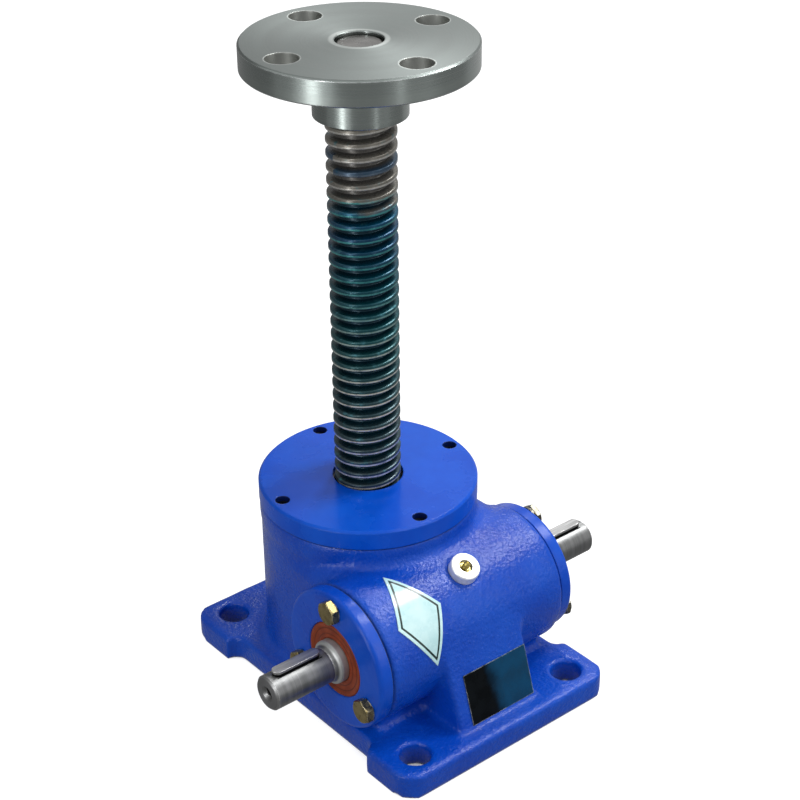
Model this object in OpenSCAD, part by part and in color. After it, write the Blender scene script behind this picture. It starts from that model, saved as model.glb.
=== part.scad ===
// Worm screw jack, travelling screw, 2.5 t class
// +Z runs up the lifting screw, the origin is on its axis at the mounting face.
// The worm shaft runs along X on the -Y side of the screw. Millimetres.

/* [Lifting screw] */
// Outside diameter of the trapezoidal thread
screw_d = 30; // [24:1:36]
// Pitch of the trapezoidal thread (single start, right hand)
screw_pitch = 6; // [4:1:8]
// Depth of the screw thread
thread_depth = 3.5; // [2:0.1:4.5]
// Flank angle of the trapezoidal thread
thread_flank = 15; // [10:1:20]
// Height of the screw's lower end over the mounting face, fully raised
screw_foot_z = 4; // [2:1:10]
// Stroke of the screw
stroke = 168; // [50:1:168]
// Gap between the nut thread and the screw thread
nut_gap = 0.35; // [0.3:0.05:0.5]

/* [Top flange] */
// Diameter of the load flange
flange_d = 98; // [80:1:120]
// Thickness of the load flange
flange_t = 11.2; // [8:0.2:16]
// Height of the flange's top face over the mounting face, fully raised
flange_top_z = 299.2; // [280:0.2:320]
// Diameter of the hub under the flange
flange_hub_d = 40; // [34:1:50]
// Length of the hub under the flange
flange_hub_h = 20; // [12:1:30]
// Pitch circle of the flange holes
flange_pcd = 75; // [60:1:100]
// Diameter of the flange holes
flange_hole_d = 14; // [8:0.5:18]

/* [Base] */
// Width of the feet along the worm shaft
base_w = 120; // [110:1:150]
// Length of the base across the worm shaft
base_l = 162; // [150:1:200]
// Thickness of the base plate
base_t = 12; // [8:1:20]
// Distance from the screw axis back to the base's centre
base_shift = 18.5; // [0:0.5:30]
// Spacing of the mounting holes along the worm shaft
mount_x = 90; // [70:1:110]
// Spacing of the mounting holes across the worm shaft
mount_y = 135; // [110:1:170]
// Diameter of the mounting holes
mount_d = 14; // [9:0.5:18]
// Width of the base between its feet
waist_w = 108.6; // [100:0.2:112]

/* [Housing] */
// Diameter of the upright gear barrel
barrel_d = 98; // [94:1:110]
// Height of the barrel's top edge
barrel_h = 87; // [84:1:100]
// Diameter of the worm tunnel's outside
tunnel_d = 65; // [60:1:72]
// Length of the worm tunnel between its end faces
tunnel_l = 100; // [98:1:110]
// Width of the pedestal under the worm tunnel
pedestal_w = 44; // [30:1:60]
// Radius of the casting's foot fillet
cast_r = 5; // [2:0.5:8]

/* [Top cover] */
// Diameter of the top bearing cover
cover_d = 99.4; // [96:0.2:110]
// Thickness of the cover's rim
cover_t = 9; // [6:0.5:12]
// Pitch circle of the cover's screw holes
cover_pcd = 88; // [80:1:92]
// Diameter of the cover's screw holes
cover_hole_d = 6.4; // [5:0.1:8]
// Bore of the cover round the screw
cover_bore_d = 32; // [31:0.5:38]

/* [Worm gear] */
// Distance between the screw axis and the worm axis
gear_centres = 46; // [46:1:46]
// Height of the worm axis
worm_z = 44.8; // [42:0.2:50]
// Module of the gear pair in the worm's axial section
gear_module = 2.5; // [2.5:0.5:2.5]
// Number of starts on the worm
worm_starts = 4; // [1:1:4]
// Number of teeth on the worm wheel
wheel_teeth = 24; // [24:1:24]
// Pitch diameter of the worm
worm_pitch_d = 32; // [32:1:32]
// Length of the worm thread
worm_l = 60; // [40:1:64]
// Face width of the worm wheel
wheel_w = 20; // [14:1:26]
// Backlash of the gear pair along the worm
gear_lash = 0.8; // [0.3:0.05:1]

/* [Worm shaft] */
// Length of the shaft over both ends
shaft_l = 186; // [160:1:220]
// Diameter of the shaft ends
shaft_end_d = 16; // [12:0.5:19]
// Diameter of the shaft at bearings and seals
shaft_seat_d = 20; // [20:1:20]
// Distance from the middle to the shaft's outer shoulder
shaft_step_x = 60; // [58:1:66]
// Width and height of the parallel keys
key_s = 5; // [4:1:6]
// Length of the parallel keys
key_l = 24; // [14:1:28]

/* [End covers] */
// Thickness of the worm tunnel's end covers
end_cover_t = 6.5; // [5:0.5:9]
// Thickness of the gasket under an end cover
gasket_t = 0.5; // [0.3:0.1:1]
// Outside diameter of the oil seal
seal_d = 35; // [32:1:38]
// Outside diameter of the end cover on the far side
far_cover_d = 61; // [60:0.5:65]
// Pitch circle of the end cover bolts on the near side
end_pcd = 52; // [48:1:54]
// Pitch circle of the end cover bolts on the far side
far_pcd = 50; // [49:1:54]
// Thread diameter of the end cover bolts
bolt_d = 6; // [5:1:6]
// Width across flats of the bolt heads
bolt_af = 10; // [8:1:10]
// Height of the bolt heads
bolt_head_h = 4; // [3:0.5:5]

/* [Bearings] */
// Outside diameter of the screw's thrust bearings
thrust_od = 60; // [60:1:60]
// Bore of the thrust bearings
thrust_id = 40; // [40:1:40]
// Height of a thrust bearing
thrust_h = 13; // [13:1:13]
// Number of balls in a thrust bearing
thrust_balls = 16; // [12:1:18]
// Outside diameter of the worm shaft's ball bearings
ball_od = 42; // [42:1:42]
// Width of the worm shaft's ball bearings
ball_w = 12; // [12:1:12]
// Number of balls in a worm shaft bearing
ball_count = 9; // [7:1:10]

/* [Plates and fittings] */
// Width of the nameplate
plate_w = 36; // [25:1:40]
// Height of the nameplate
plate_h = 24; // [18:1:26]
// Length of the diamond label round the worm tunnel
label_l = 49; // [30:1:55]
// Width of the diamond label along the worm tunnel
label_w = 25; // [15:1:30]
// Thickness of the nameplate and the label
plate_t = 0.4; // [0.2:0.1:1]
// Diameter of the grease boss
boss_d = 13.5; // [10:0.5:16]
// Angle of the grease boss from level, at the back of the worm tunnel
boss_angle = 119; // [100:1:150]

/* [Hidden] */
$fn = 48;
eps = 0.01;
fit = 0.05;                        // radial gap of a sliding or turning fit

paint = [0.16, 0.36, 0.75];
steel = [0.62, 0.64, 0.66];
cast_grey = [0.55, 0.57, 0.60];
brass = [0.75, 0.65, 0.32];
rubber = [0.50, 0.22, 0.12];
dark = [0.10, 0.12, 0.14];
bronze = [0.72, 0.53, 0.25];

base_y0 = -base_shift - base_l / 2;
base_y1 = -base_shift + base_l / 2;
foot_l = 29.4;                     // length of a foot across the worm shaft
foot_r = 5.5;                      // fillet between a foot and the waist
corner_r = 10;                     // corners of the feet
edge_r = 2;                        // rounded upper edge of the base

screw_r = screw_d / 2;
core_r = screw_r - thread_depth;
nut_r = screw_r + 0.5;             // outer radius of the nut's thread grooves
nut_core_r = core_r + 0.5;         // bore of the nut
crest_w = screw_pitch / 2 * (1 - tan(thread_flank));
hub_z = flange_top_z - flange_t - flange_hub_h;
spigot_d = 20;                     // turned top end of the screw, fixed in the flange
spigot_z = flange_top_z - 1.5;

barrel_r = barrel_d / 2;
tunnel_r = tunnel_d / 2;
tunnel_top = worm_z + tunnel_r;
floor_z = 13;                      // housing floor under the lower bearing
cavity_r = 36;                     // room for the worm wheel
pedestal_lean = 17.7;              // lean of the pedestal's front face
pedestal_y = -gear_centres - tunnel_r - 0.5;   // pedestal front where it leaves the tunnel
pedestal_z = worm_z + 3.2;
pedestal_r = 1.5;                  // fillet at the pedestal's foot
block_r = 13;                      // rounded top edges of the gear block
shelf_r = 4;                       // fillet between the barrel and the gear block's top
collar_r = barrel_r + 0.5;         // the barrel's upper ring, up to the cover

lower_z = floor_z;                 // thrust bearings, from their lower faces
hub_low_z = lower_z + thrust_h;
hub_top_z = 2 * worm_z - hub_low_z;
upper_z = hub_top_z;
cover_z = barrel_h;
cover_seat_z = upper_z + thrust_h;
thrust_mid = thrust_h / 2;
thrust_ball_d = 7;
thrust_washer_t = 4.4;
thrust_pcr = (thrust_od + thrust_id) / 4;
cage_half = 4.3;                   // half width of a thrust bearing's cage
cage_t = 2.4;

wheel_r = gear_module * wheel_teeth / 2;
worm_r = worm_pitch_d / 2;
worm_tip_r = worm_r + gear_module;
worm_root_r = worm_r - 1.2 * gear_module;
worm_lead = PI * gear_module * worm_starts;
worm_lean = atan(worm_lead / (2 * PI * worm_r));
wheel_tip_r = wheel_r + gear_module;
wheel_root_r = wheel_r - 1.24 * gear_module;
tunnel_bore_r = worm_tip_r + 1;
pressure = 20;

end_x = tunnel_l / 2;
cover_x = end_x + gasket_t;
face_x = cover_x + end_cover_t;
cover_edge_r = 2;                  // rounded edge of an end cover
bearing_x = end_x - ball_w;
ball_pcr = 15.5;
ball_d = 6.35;
ball_cage_w = 8;                   // width of a ball bearing's cage
ball_cage_t = 2.6;                 // and its wall
bolt_reach = 12;                   // how deep a cover bolt goes into the tunnel's end
seat_r = shaft_seat_d / 2;
key_x = shaft_l / 2 - 3.5;         // outer end of a key
key_deep = 3;                      // depth of a keyway

set_screw_d = 6;
set_screw_l = 15.5;
set_screw_z = barrel_h + cover_t - 2.5;
set_screw_key = 3;                 // hexagon socket of the set screws
nipple_d = 6;
wiper_r = 20;                      // groove of the screw wiper in the cover
wiper_h = 8;
boss_x = 3.3;                      // grease point's place along the tunnel
boss_out = 3.6;                    // height of the grease boss over the tunnel
plate_x = 3;                       // nameplate's middle
plate_drop = 12.1;                 // nameplate's upper edge below the top of the leaning face
label_in = 21.6;                   // label's middle from the tunnel's near end
label_x = label_in - end_x;
label_angle = 136.3;               // label's middle round the tunnel
label_turn = 5.7;

// ---------- shared shapes ----------

// Lays a shape made along +Z on the worm axis, pointing along +X (side 1) or -X (side -1)
module on_worm(side = 1)
  translate([0, -gear_centres, worm_z]) rotate([0, 90 * side, 0]) children();

module ring(ro, ri, h)
  difference() {
    cylinder(r = ro, h = h);
    translate([0, 0, -1]) cylinder(r = ri, h = h + 2);
  }

// A turned ring from its half section
module turned(points) rotate_extrude() polygon(points);

module around(count, r, start = 0)
  for (i = [0:count - 1]) rotate([0, 0, start + i * 360 / count]) translate([r, 0, 0]) children();

// One helical thread as a closed solid along +Z. Each turn carries the four points of the
// tooth profile, and the seam joins one turn to the next, so the helix runs on without a step.
module thread_rod(profile, pitch, turns, steps = 20) {
  count = 4 * turns + 1;
  last = (steps - 1) * count;
  points = [for (j = [0:steps - 1]) for (k = [0:count - 1])
    let (r = profile[k % 4][1], a = 360 * j / steps)
    [r * cos(a), r * sin(a), pitch * (floor(k / 4) + j / steps) + profile[k % 4][0]]];
  foot = steps * count;
  tips = [[0, 0, pitch / 2], [0, 0, pitch * (turns - 1 / steps - 1 / 2)]];
  sides = [for (j = [0:steps - 2]) for (k = [0:count - 2]) let (p = j * count + k, q = p + count)
    for (t = [[p, q + 1, q], [p, p + 1, q + 1]]) t];
  seam = [for (k = [0:count - 6]) for (t = [[last + k, k + 5, k + 4],
    [last + k, last + k + 1, k + 5]]) t];
  low = [for (j = [0:steps - 2]) [foot, j * count, (j + 1) * count],
    [foot, last, 4], for (k = [0:3]) [foot, k + 1, k]];
  high = [for (j = [1:steps - 1]) [foot + 1, (j + 1) * count - 1, j * count - 1],
    [foot + 1, count - 1, last + count - 5],
    for (k = [count - 5:count - 2]) [foot + 1, last + k, last + k + 1]];
  polyhedron(concat(points, tips), concat(sides, seam, low, high));
}

// Tooth of the trapezoidal thread: height and radius of its four corners, middle at half a pitch
function tooth(root, crest, wider) =
  let (c = crest_w / 2 + wider + (screw_r - crest) * tan(thread_flank),
    f = c + (crest - root) * tan(thread_flank), m = screw_pitch / 2)
  [[m - f, root], [m - c, crest], [m + c, crest], [m + f, root]];

// ---------- casting ----------

module rounded_bar(x, y0, y1, r) {
  translate([-x, y0 + r]) square([2 * x, y1 - y0 - 2 * r]);
  translate([-x + r, y0]) square([2 * (x - r), y1 - y0]);
  for (sx = [-1, 1]) for (y = [y0 + r, y1 - r]) translate([sx * (x - r), y]) circle(r);
}

module base_outline() {
  waist = waist_w / 2;
  y_front = base_y0 + foot_l;
  y_back = base_y1 - foot_l;
  rounded_bar(base_w / 2, base_y0, y_front, corner_r);
  rounded_bar(base_w / 2, y_back, base_y1, corner_r);
  for (s = [-1, 1]) {              // square inner corners of the feet
    translate([s * base_w / 2 - (s > 0 ? corner_r : 0), y_front - corner_r]) square(corner_r);
    translate([s * base_w / 2 - (s > 0 ? corner_r : 0), y_back]) square(corner_r);
  }
  translate([-waist, base_y0 + corner_r]) square([2 * waist, base_l - 2 * corner_r]);
  for (s = [-1, 1]) for (f = [[y_front, 1], [y_back, -1]]) difference() {
    translate([s > 0 ? waist : -waist - foot_r, f[1] > 0 ? f[0] : f[0] - foot_r]) square(foot_r);
    translate([s * (waist + foot_r), f[0] + f[1] * foot_r]) circle(foot_r);
  }
}

// Section of a plate whose two upper edges are rounded, drawn from a to b
module rounded_top(a, b, h, r) {
  translate([a, 0]) square([b - a, h - r]);
  translate([a + r, 0]) square([b - a - 2 * r, h]);
  for (x = [a + r, b - r]) translate([x, h - r]) circle(r);
}

module base_plate() intersection() {
  linear_extrude(base_t) base_outline();
  translate([0, base_y1 + 1, 0]) rotate([90, 0, 0]) linear_extrude(base_l + 2)
    rounded_top(-base_w / 2, base_w / 2, base_t, edge_r);
  translate([-base_w, 0, 0]) rotate([90, 0, 90]) linear_extrude(2 * base_w)
    rounded_top(base_y0, base_y1, base_t, edge_r);
}

// Hollow fillet at the foot of a round wall, from height z
module foot_fillet(wall, z, r) translate([0, 0, z]) rotate_extrude() difference() {
  translate([wall - 2, -2]) square([r + 2, r + 2]);
  translate([wall + r, r]) circle(r);
}

module gear_block() intersection() {
  translate([0, 0, base_t - 1]) linear_extrude(tunnel_top - base_t + 1)
    polygon([[-end_x, -gear_centres], [end_x, -gear_centres], [barrel_r, 0], [-barrel_r, 0]]);
  translate([0, 10, 0]) rotate([90, 0, 0]) linear_extrude(gear_centres + 20)
    rounded_top(-end_x, end_x, tunnel_top, block_r);
}

module tunnel() {
  r = 2.5;
  on_worm() rotate_extrude() {
    translate([0, -end_x]) square([tunnel_r - r, tunnel_l]);
    translate([0, -end_x + r]) square([tunnel_r, tunnel_l - 2 * r]);
    for (x = [-end_x + r, end_x - r]) translate([tunnel_r - r, x]) intersection() {
      circle(r);
      translate([0, x > 0 ? 0 : -r]) square(r);
    }
  }
}

// Web under the front half of the tunnel, ending in a fillet on the base
module tunnel_web() {
  r = 4;
  rise = worm_z - base_t;
  out = sqrt(pow(tunnel_r + r, 2) - pow(rise - r, 2));
  share = tunnel_r / (tunnel_r + r);
  translate([-end_x + 2.5, 0, 0]) rotate([90, 0, 90]) linear_extrude(tunnel_l - 5) difference() {
    polygon([[-gear_centres, base_t - 1], [-gear_centres - out, base_t - 1],
      [-gear_centres - out, base_t], [-gear_centres - out * share, worm_z - (rise - r) * share],
      [-gear_centres, worm_z]]);
    translate([-gear_centres - out, base_t + r]) circle(r);
  }
}

module pedestal() {
  r = pedestal_r;
  foot_y = pedestal_y - (pedestal_z - base_t) * tan(pedestal_lean);
  reach = r / tan(45 + pedestal_lean / 2);
  top_z = 53.5;
  top_y = pedestal_y + (top_z - pedestal_z) * tan(pedestal_lean);
  translate([-pedestal_w / 2, 0, 0]) rotate([90, 0, 90]) linear_extrude(pedestal_w) {
    polygon([[-gear_centres, base_t - 1], [foot_y, base_t - 1], [foot_y, base_t], [top_y, top_z],
      [-gear_centres, top_z]]);
    difference() {
      polygon([[foot_y, base_t - 1], [foot_y - reach, base_t - 1], [foot_y - reach, base_t],
        [foot_y + reach * sin(pedestal_lean), base_t + reach * cos(pedestal_lean)]]);
      translate([foot_y - reach, base_t + r]) circle(r);
    }
  }
}

module housing() color(paint) difference() {
  union() {
    base_plate();
    turned([[0, 0], [barrel_r, 0], [barrel_r, tunnel_top - 2], [collar_r, tunnel_top + 1],
      [collar_r, barrel_h - 0.8], [collar_r - 0.8, barrel_h], [0, barrel_h]]);
    intersection() {
      foot_fillet(barrel_r, base_t, cast_r);
      translate([-waist_w / 2, -barrel_d, 0]) cube([waist_w, 2 * barrel_d, barrel_h]);
    }
    intersection() {
      foot_fillet(collar_r, tunnel_top, shelf_r);
      translate([block_r - end_x, -barrel_d, 0])
        cube([tunnel_l - 2 * block_r, barrel_d, barrel_h]);
    }
    gear_block();
    tunnel();
    tunnel_web();
    pedestal();
  }
  translate([0, 0, -1]) cylinder(r = cover_bore_d / 2, h = floor_z + 2);
  translate([0, 0, floor_z]) cylinder(r = thrust_od / 2 + fit, h = 10);
  translate([0, 0, floor_z + 5]) cylinder(r = cavity_r, h = barrel_h);
  on_worm() {
    translate([0, 0, -bearing_x - 1]) cylinder(r = tunnel_bore_r, h = 2 * bearing_x + 2);
    for (s = [0, 1]) mirror([0, 0, s]) translate([0, 0, bearing_x])
      cylinder(r = ball_od / 2 + fit, h = ball_w + 1);
  }
  for (s = [-1, 1]) end_bolt_places(s)
    translate([0, 0, end_x - bolt_reach - 1]) cylinder(d = bolt_d + 2 * fit, h = bolt_reach + 2);
  around(4, cover_pcd / 2, -8) translate([0, 0, barrel_h - 11]) cylinder(d = set_screw_d + 2 * fit, h = 12);
  grease_axis() {
    translate([0, 0, tunnel_bore_r - 3]) cylinder(d = nipple_d + 2 * fit, h = 20);
    translate([0, 0, tunnel_r - 2.5]) cylinder(d = boss_d + 2 * fit, h = 10);
  }
  for (x = [-1, 1]) for (y = [-1, 1])
    translate([x * mount_x / 2, -base_shift + y * mount_y / 2, -1]) cylinder(d = mount_d, h = base_t + 2);
}

// ---------- top bearing cover ----------

module top_cover() color(paint) difference() {
  turned([[cover_bore_d / 2, cover_z + cover_t], [cover_d / 2 - 1, cover_z + cover_t],
    [cover_d / 2, cover_z + cover_t - 1], [cover_d / 2, cover_z], [cavity_r - fit, cover_z],
    [cavity_r - fit, cover_seat_z - thrust_washer_t], [thrust_od / 2 + fit, cover_seat_z - thrust_washer_t],
    [thrust_od / 2 + fit, cover_seat_z], [wiper_r, cover_seat_z], [wiper_r, cover_z + cover_t - 3],
    [cover_bore_d / 2, cover_z + cover_t - 3]]);
  around(4, cover_pcd / 2, -8) translate([0, 0, cover_z - 1]) cylinder(d = cover_hole_d, h = cover_t + 2);
}

module cover_set_screws() color(dark) around(4, cover_pcd / 2, -8) difference() {
  translate([0, 0, set_screw_z - set_screw_l]) cylinder(d = set_screw_d, h = set_screw_l);
  translate([0, 0, set_screw_z - 3]) cylinder(d = set_screw_key / cos(30), h = 4, $fn = 6);
}

module screw_wiper() color(rubber)
  translate([0, 0, cover_z + cover_t - 3 - wiper_h]) ring(wiper_r - fit, screw_r + 0.35, wiper_h);

// ---------- thrust bearings ----------

module thrust_washer(z, groove_z, ri, ro) color(steel) difference() {
  translate([0, 0, z]) ring(ro, ri, thrust_washer_t);
  translate([0, 0, groove_z]) rotate_extrude() translate([thrust_pcr, 0]) circle(thrust_ball_d / 2 + 0.08);
}

module thrust_cage(z) color(bronze) difference() {
  translate([0, 0, z - cage_t / 2]) ring(thrust_pcr + cage_half, thrust_pcr - cage_half, cage_t);
  translate([0, 0, z]) around(thrust_balls, thrust_pcr) sphere(r = thrust_ball_d / 2 + 0.1);
}

module thrust_ball_set(z) color(steel)
  translate([0, 0, z]) around(thrust_balls, thrust_pcr) sphere(r = thrust_ball_d / 2);

module upper_housing_washer() thrust_washer(cover_seat_z - thrust_washer_t, upper_z + thrust_mid,
  thrust_id / 2 + 1, thrust_od / 2);
module upper_ball_cage() thrust_cage(upper_z + thrust_mid);
module upper_balls() thrust_ball_set(upper_z + thrust_mid);
module upper_shaft_washer() thrust_washer(upper_z, upper_z + thrust_mid, thrust_id / 2, thrust_od / 2 - 0.5);
module lower_shaft_washer() thrust_washer(hub_low_z - thrust_washer_t, lower_z + thrust_mid,
  thrust_id / 2, thrust_od / 2 - 0.5);
module lower_ball_cage() thrust_cage(lower_z + thrust_mid);
module lower_balls() thrust_ball_set(lower_z + thrust_mid);
module lower_housing_washer() thrust_washer(lower_z, lower_z + thrust_mid, thrust_id / 2 + 1, thrust_od / 2);

// ---------- worm wheel, which is also the lifting nut ----------

function polar(r, a) = [r * cos(a), r * sin(a)];

// Half angle of a wheel tooth at radius r, from the involute of its base circle
function wheel_half(r) = let (b = wheel_r * cos(pressure), a = acos(min(1, b / r)))
  (PI * gear_module / 2 - gear_lash / 2) / wheel_r * 90 / PI + tan(pressure) * 180 / PI - pressure
  - tan(a) * 180 / PI + a;

module wheel_rim() {
  turn = wheel_w * tan(worm_lean) / wheel_r * 180 / PI;
  mid_r = (wheel_r + wheel_tip_r) / 2;
  half = [[wheel_root_r, wheel_half(wheel_root_r) + 0.5], [wheel_r - 1.6, wheel_half(wheel_r - 1.6)],
    [wheel_r, wheel_half(wheel_r)], [wheel_tip_r, wheel_half(wheel_tip_r)]];
  translate([0, 0, worm_z]) rotate([0, 0, 180 / wheel_teeth - turn / 2])
    linear_extrude(height = wheel_w, center = true, twist = -turn, slices = 3)
      polygon([for (i = [0:wheel_teeth - 1]) let (a = i * 360 / wheel_teeth)
        for (p = [for (h = half) polar(h[0], a - h[1]),
          for (k = [3:-1:0]) polar(half[k][0], a + half[k][1])]) p]);
}

module worm_wheel() color(bronze) difference() {
  union() {
    wheel_rim();
    translate([0, 0, hub_low_z]) cylinder(r = thrust_id / 2 + 4, h = hub_top_z - hub_low_z);
    translate([0, 0, lower_z + 0.4]) cylinder(r = thrust_id / 2 - fit, h = cover_seat_z - lower_z - 0.8);
  }
  translate([0, 0, screw_pitch]) thread_rod(tooth(nut_core_r, nut_r, nut_gap), screw_pitch, 13);
}

// ---------- screw and flange ----------

module lifting_screw() color(cast_grey) {
  intersection() {
    translate([0, 0, -screw_pitch]) thread_rod(tooth(core_r, screw_r, 0), screw_pitch,
      ceil(hub_z / screw_pitch) + 2);
    translate([0, 0, screw_foot_z]) cylinder(r = screw_r + 5, h = hub_z - screw_foot_z);
  }
  difference() {
    turned([[0, hub_z - 5], [spigot_d / 2, hub_z - 5], [spigot_d / 2, spigot_z - 1],
      [spigot_d / 2 - 1, spigot_z], [0, spigot_z]]);
    translate([0, 0, spigot_z - 4]) cylinder(r1 = 0.5, r2 = 2.5, h = 4.01);
  }
}

module top_flange() color(steel) difference() {
  turned([[spigot_d / 2 + fit, hub_z], [flange_hub_d / 2, hub_z], [flange_hub_d / 2, flange_top_z - flange_t],
    [flange_d / 2 - 0.6, flange_top_z - flange_t], [flange_d / 2, flange_top_z - flange_t + 0.6],
    [flange_d / 2, flange_top_z - 0.8], [flange_d / 2 - 0.8, flange_top_z],
    [spigot_d / 2 + fit + 0.3, flange_top_z], [spigot_d / 2 + fit, flange_top_z - 0.4]]);
  around(4, flange_pcd / 2, -2) translate([0, 0, flange_top_z - flange_t - 1])
    cylinder(d = flange_hole_d, h = flange_t + 2);
}

// ---------- worm shaft ----------

module worm_thread() {
  twist = 360 * worm_l / worm_lead;
  lobe = 360 / worm_starts;
  degree = 360 / worm_lead;        // turn of a lobe's edge for each millimetre along the worm
  half = (PI * gear_module / 2 - gear_lash / 2) / 2;
  side = [for (r = [worm_tip_r, worm_tip_r - 1.9, worm_tip_r - 3.7, worm_root_r])
    [r, degree * (half + (worm_r - r) * tan(pressure))]];
  rotate([0, 0, -twist / 2])
    linear_extrude(height = worm_l, center = true, twist = -twist, slices = round(twist / 24))
      polygon([for (i = [0:worm_starts - 1]) let (a = i * lobe)
        for (p = [for (k = [3:-1:0]) polar(side[k][0], a - side[k][1]), polar(worm_tip_r, a),
          for (s = side) polar(s[0], a + s[1])]) p]);
}

module key_slot(h, gap) {
  x0 = -key_x + key_s / 2;
  x1 = -key_x + key_l - key_s / 2;
  rotate([0, 90, 0]) linear_extrude(h) {
    for (x = [x0, x1]) translate([x, 0]) circle(d = key_s + 2 * gap);
    translate([x0, -key_s / 2 - gap]) square([x1 - x0, key_s + 2 * gap]);
  }
}

module key_place(side) on_worm(side) rotate([0, 0, side > 0 ? 180 : 0])
  translate([shaft_end_d / 2 - key_deep, 0, 0]) children();

module worm_shaft() color(steel) difference() {
  union() {
    on_worm() {
      worm_thread();
      rotate([0, 0, 37.5]) rotate_extrude() polygon([[0, -shaft_l / 2], [shaft_end_d / 2 - 1, -shaft_l / 2],
        [shaft_end_d / 2, 1 - shaft_l / 2], [shaft_end_d / 2, -shaft_step_x], [seat_r - 0.5, -shaft_step_x],
        [seat_r, 0.5 - shaft_step_x], [seat_r, -bearing_x], [worm_root_r - 0.2, -bearing_x],
        [worm_root_r - 0.2, bearing_x], [seat_r, bearing_x], [seat_r, shaft_step_x - 0.5],
        [seat_r - 0.5, shaft_step_x], [shaft_end_d / 2, shaft_step_x], [shaft_end_d / 2, shaft_l / 2 - 1],
        [shaft_end_d / 2 - 1, shaft_l / 2], [0, shaft_l / 2]]);
    }
  }
  for (s = [-1, 1]) {
    key_place(s) key_slot(key_s, fit);
    on_worm(s) translate([0, 0, shaft_l / 2 - 12]) {
      cylinder(d = 4.2, h = 13);
      translate([0, 0, 10]) cylinder(d1 = 3, d2 = 7.5, h = 2.25);
    }
  }
}

module parallel_key(side) color(steel) key_place(side) key_slot(key_s, 0);
module near_key() parallel_key(-1);
module far_key() parallel_key(1);

// ---------- worm shaft bearings ----------

module race(ri, ro) color(steel) difference() {
  ring(ro, ri, ball_w);
  translate([0, 0, ball_w / 2]) rotate_extrude() translate([ball_pcr, 0]) circle(ball_d / 2 + 0.08);
}
module bearing_at(side) on_worm(side) translate([0, 0, bearing_x]) children();
module cage() color(bronze) translate([0, 0, ball_w / 2]) difference() {
  translate([0, 0, -ball_cage_w / 2])
    ring(ball_pcr + ball_cage_t / 2, ball_pcr - ball_cage_t / 2, ball_cage_w);
  around(ball_count, ball_pcr) rotate([0, 90, 0]) cylinder(d = ball_d + 0.2, h = ball_cage_w, center = true);
}
module balls() color(steel) translate([0, 0, ball_w / 2]) around(ball_count, ball_pcr) sphere(r = ball_d / 2);

module near_outer_ring() bearing_at(-1) race(ball_pcr + 2.1, ball_od / 2);
module near_inner_ring() bearing_at(-1) race(seat_r + fit, ball_pcr - 2.1);
module near_bearing_cage() bearing_at(-1) cage();
module near_bearing_balls() bearing_at(-1) balls();
module far_outer_ring() bearing_at(1) race(ball_pcr + 2.1, ball_od / 2);
module far_inner_ring() bearing_at(1) race(seat_r + fit, ball_pcr - 2.1);
module far_bearing_cage() bearing_at(1) cage();
module far_bearing_balls() bearing_at(1) balls();

// ---------- end covers of the worm tunnel ----------

function rim_r(side) = side > 0 ? far_cover_d / 2 : tunnel_r;

module end_bolt_places(side)
  on_worm(side) around(3, (side > 0 ? far_pcd : end_pcd) / 2, side > 0 ? 180 : 0) children();

module gasket(side) color(dark) difference() {
  on_worm(side) translate([0, 0, end_x]) ring(rim_r(side) - 0.4, ball_od / 2 - 1, gasket_t);
  end_bolt_places(side) translate([0, 0, end_x - 1]) cylinder(d = bolt_d + 0.6, h = gasket_t + 2);
}

// Section of a disc from height a to b, with its upper edge rounded
module rounded_rim(r, a, b, e) {
  translate([0, a]) square([r, b - a - e]);
  translate([0, a]) square([r - e, b - a]);
  translate([r - e, b - e]) circle(e);
}

module end_cover(side) color(paint) difference() {
  on_worm(side) rotate_extrude() rounded_rim(rim_r(side), cover_x, face_x, cover_edge_r);
  on_worm(side) translate([0, 0, cover_x - 1]) cylinder(d = seal_d + 2 * fit, h = end_cover_t + 2);
  on_worm(side) translate([0, 0, face_x - 0.5])
    cylinder(d1 = seal_d + 2 * fit, d2 = seal_d + 2 * fit + 2, h = 1);
  end_bolt_places(side) translate([0, 0, cover_x - 1]) cylinder(d = bolt_d + 0.6, h = end_cover_t + 2);
}

// Pressed case round the outside, a thin face and a lip that runs on the shaft
module oil_seal(side) color(rubber) on_worm(side) turned([[seal_d / 2, cover_x], [seal_d / 2, face_x - 0.6],
  [seal_d / 2 - 0.5, face_x - 0.2], [seal_d / 2 - 2.2, face_x - 0.2], [seal_d / 2 - 2.8, face_x - 0.8],
  [seat_r + 2.6, face_x - 0.8], [seat_r + 2.0, face_x - 0.3], [seat_r + 0.8, face_x - 0.3],
  [seat_r + fit, face_x - 1.2], [seat_r + fit, cover_x + 2], [seat_r + 1.5, cover_x + 1],
  [seal_d / 2 - 2.5, cover_x]]);

module cover_bolts(side) color(bronze) end_bolt_places(side) {
  translate([0, 0, end_x - bolt_reach]) cylinder(d = bolt_d, h = face_x - end_x + bolt_reach);
  intersection() {
    translate([0, 0, face_x]) rotate([0, 0, 30]) cylinder(d = bolt_af / cos(30), h = bolt_head_h, $fn = 6);
    translate([0, 0, face_x]) cylinder(r1 = 0.79 * bolt_af, r2 = 0.47 * bolt_af, h = 1.25 * bolt_head_h);
  }
}

module near_gasket() gasket(-1);
module far_gasket() gasket(1);
module near_end_cover() end_cover(-1);
module far_end_cover() end_cover(1);
module near_oil_seal() oil_seal(-1);
module far_oil_seal() oil_seal(1);
module near_cover_bolts() cover_bolts(-1);
module far_cover_bolts() cover_bolts(1);

// ---------- fittings and plates ----------

// Radial axis of the grease point on the worm tunnel, along +Z
module grease_axis() translate([boss_x, -gear_centres, worm_z]) rotate([boss_angle - 90, 0, 0]) children();

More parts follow.
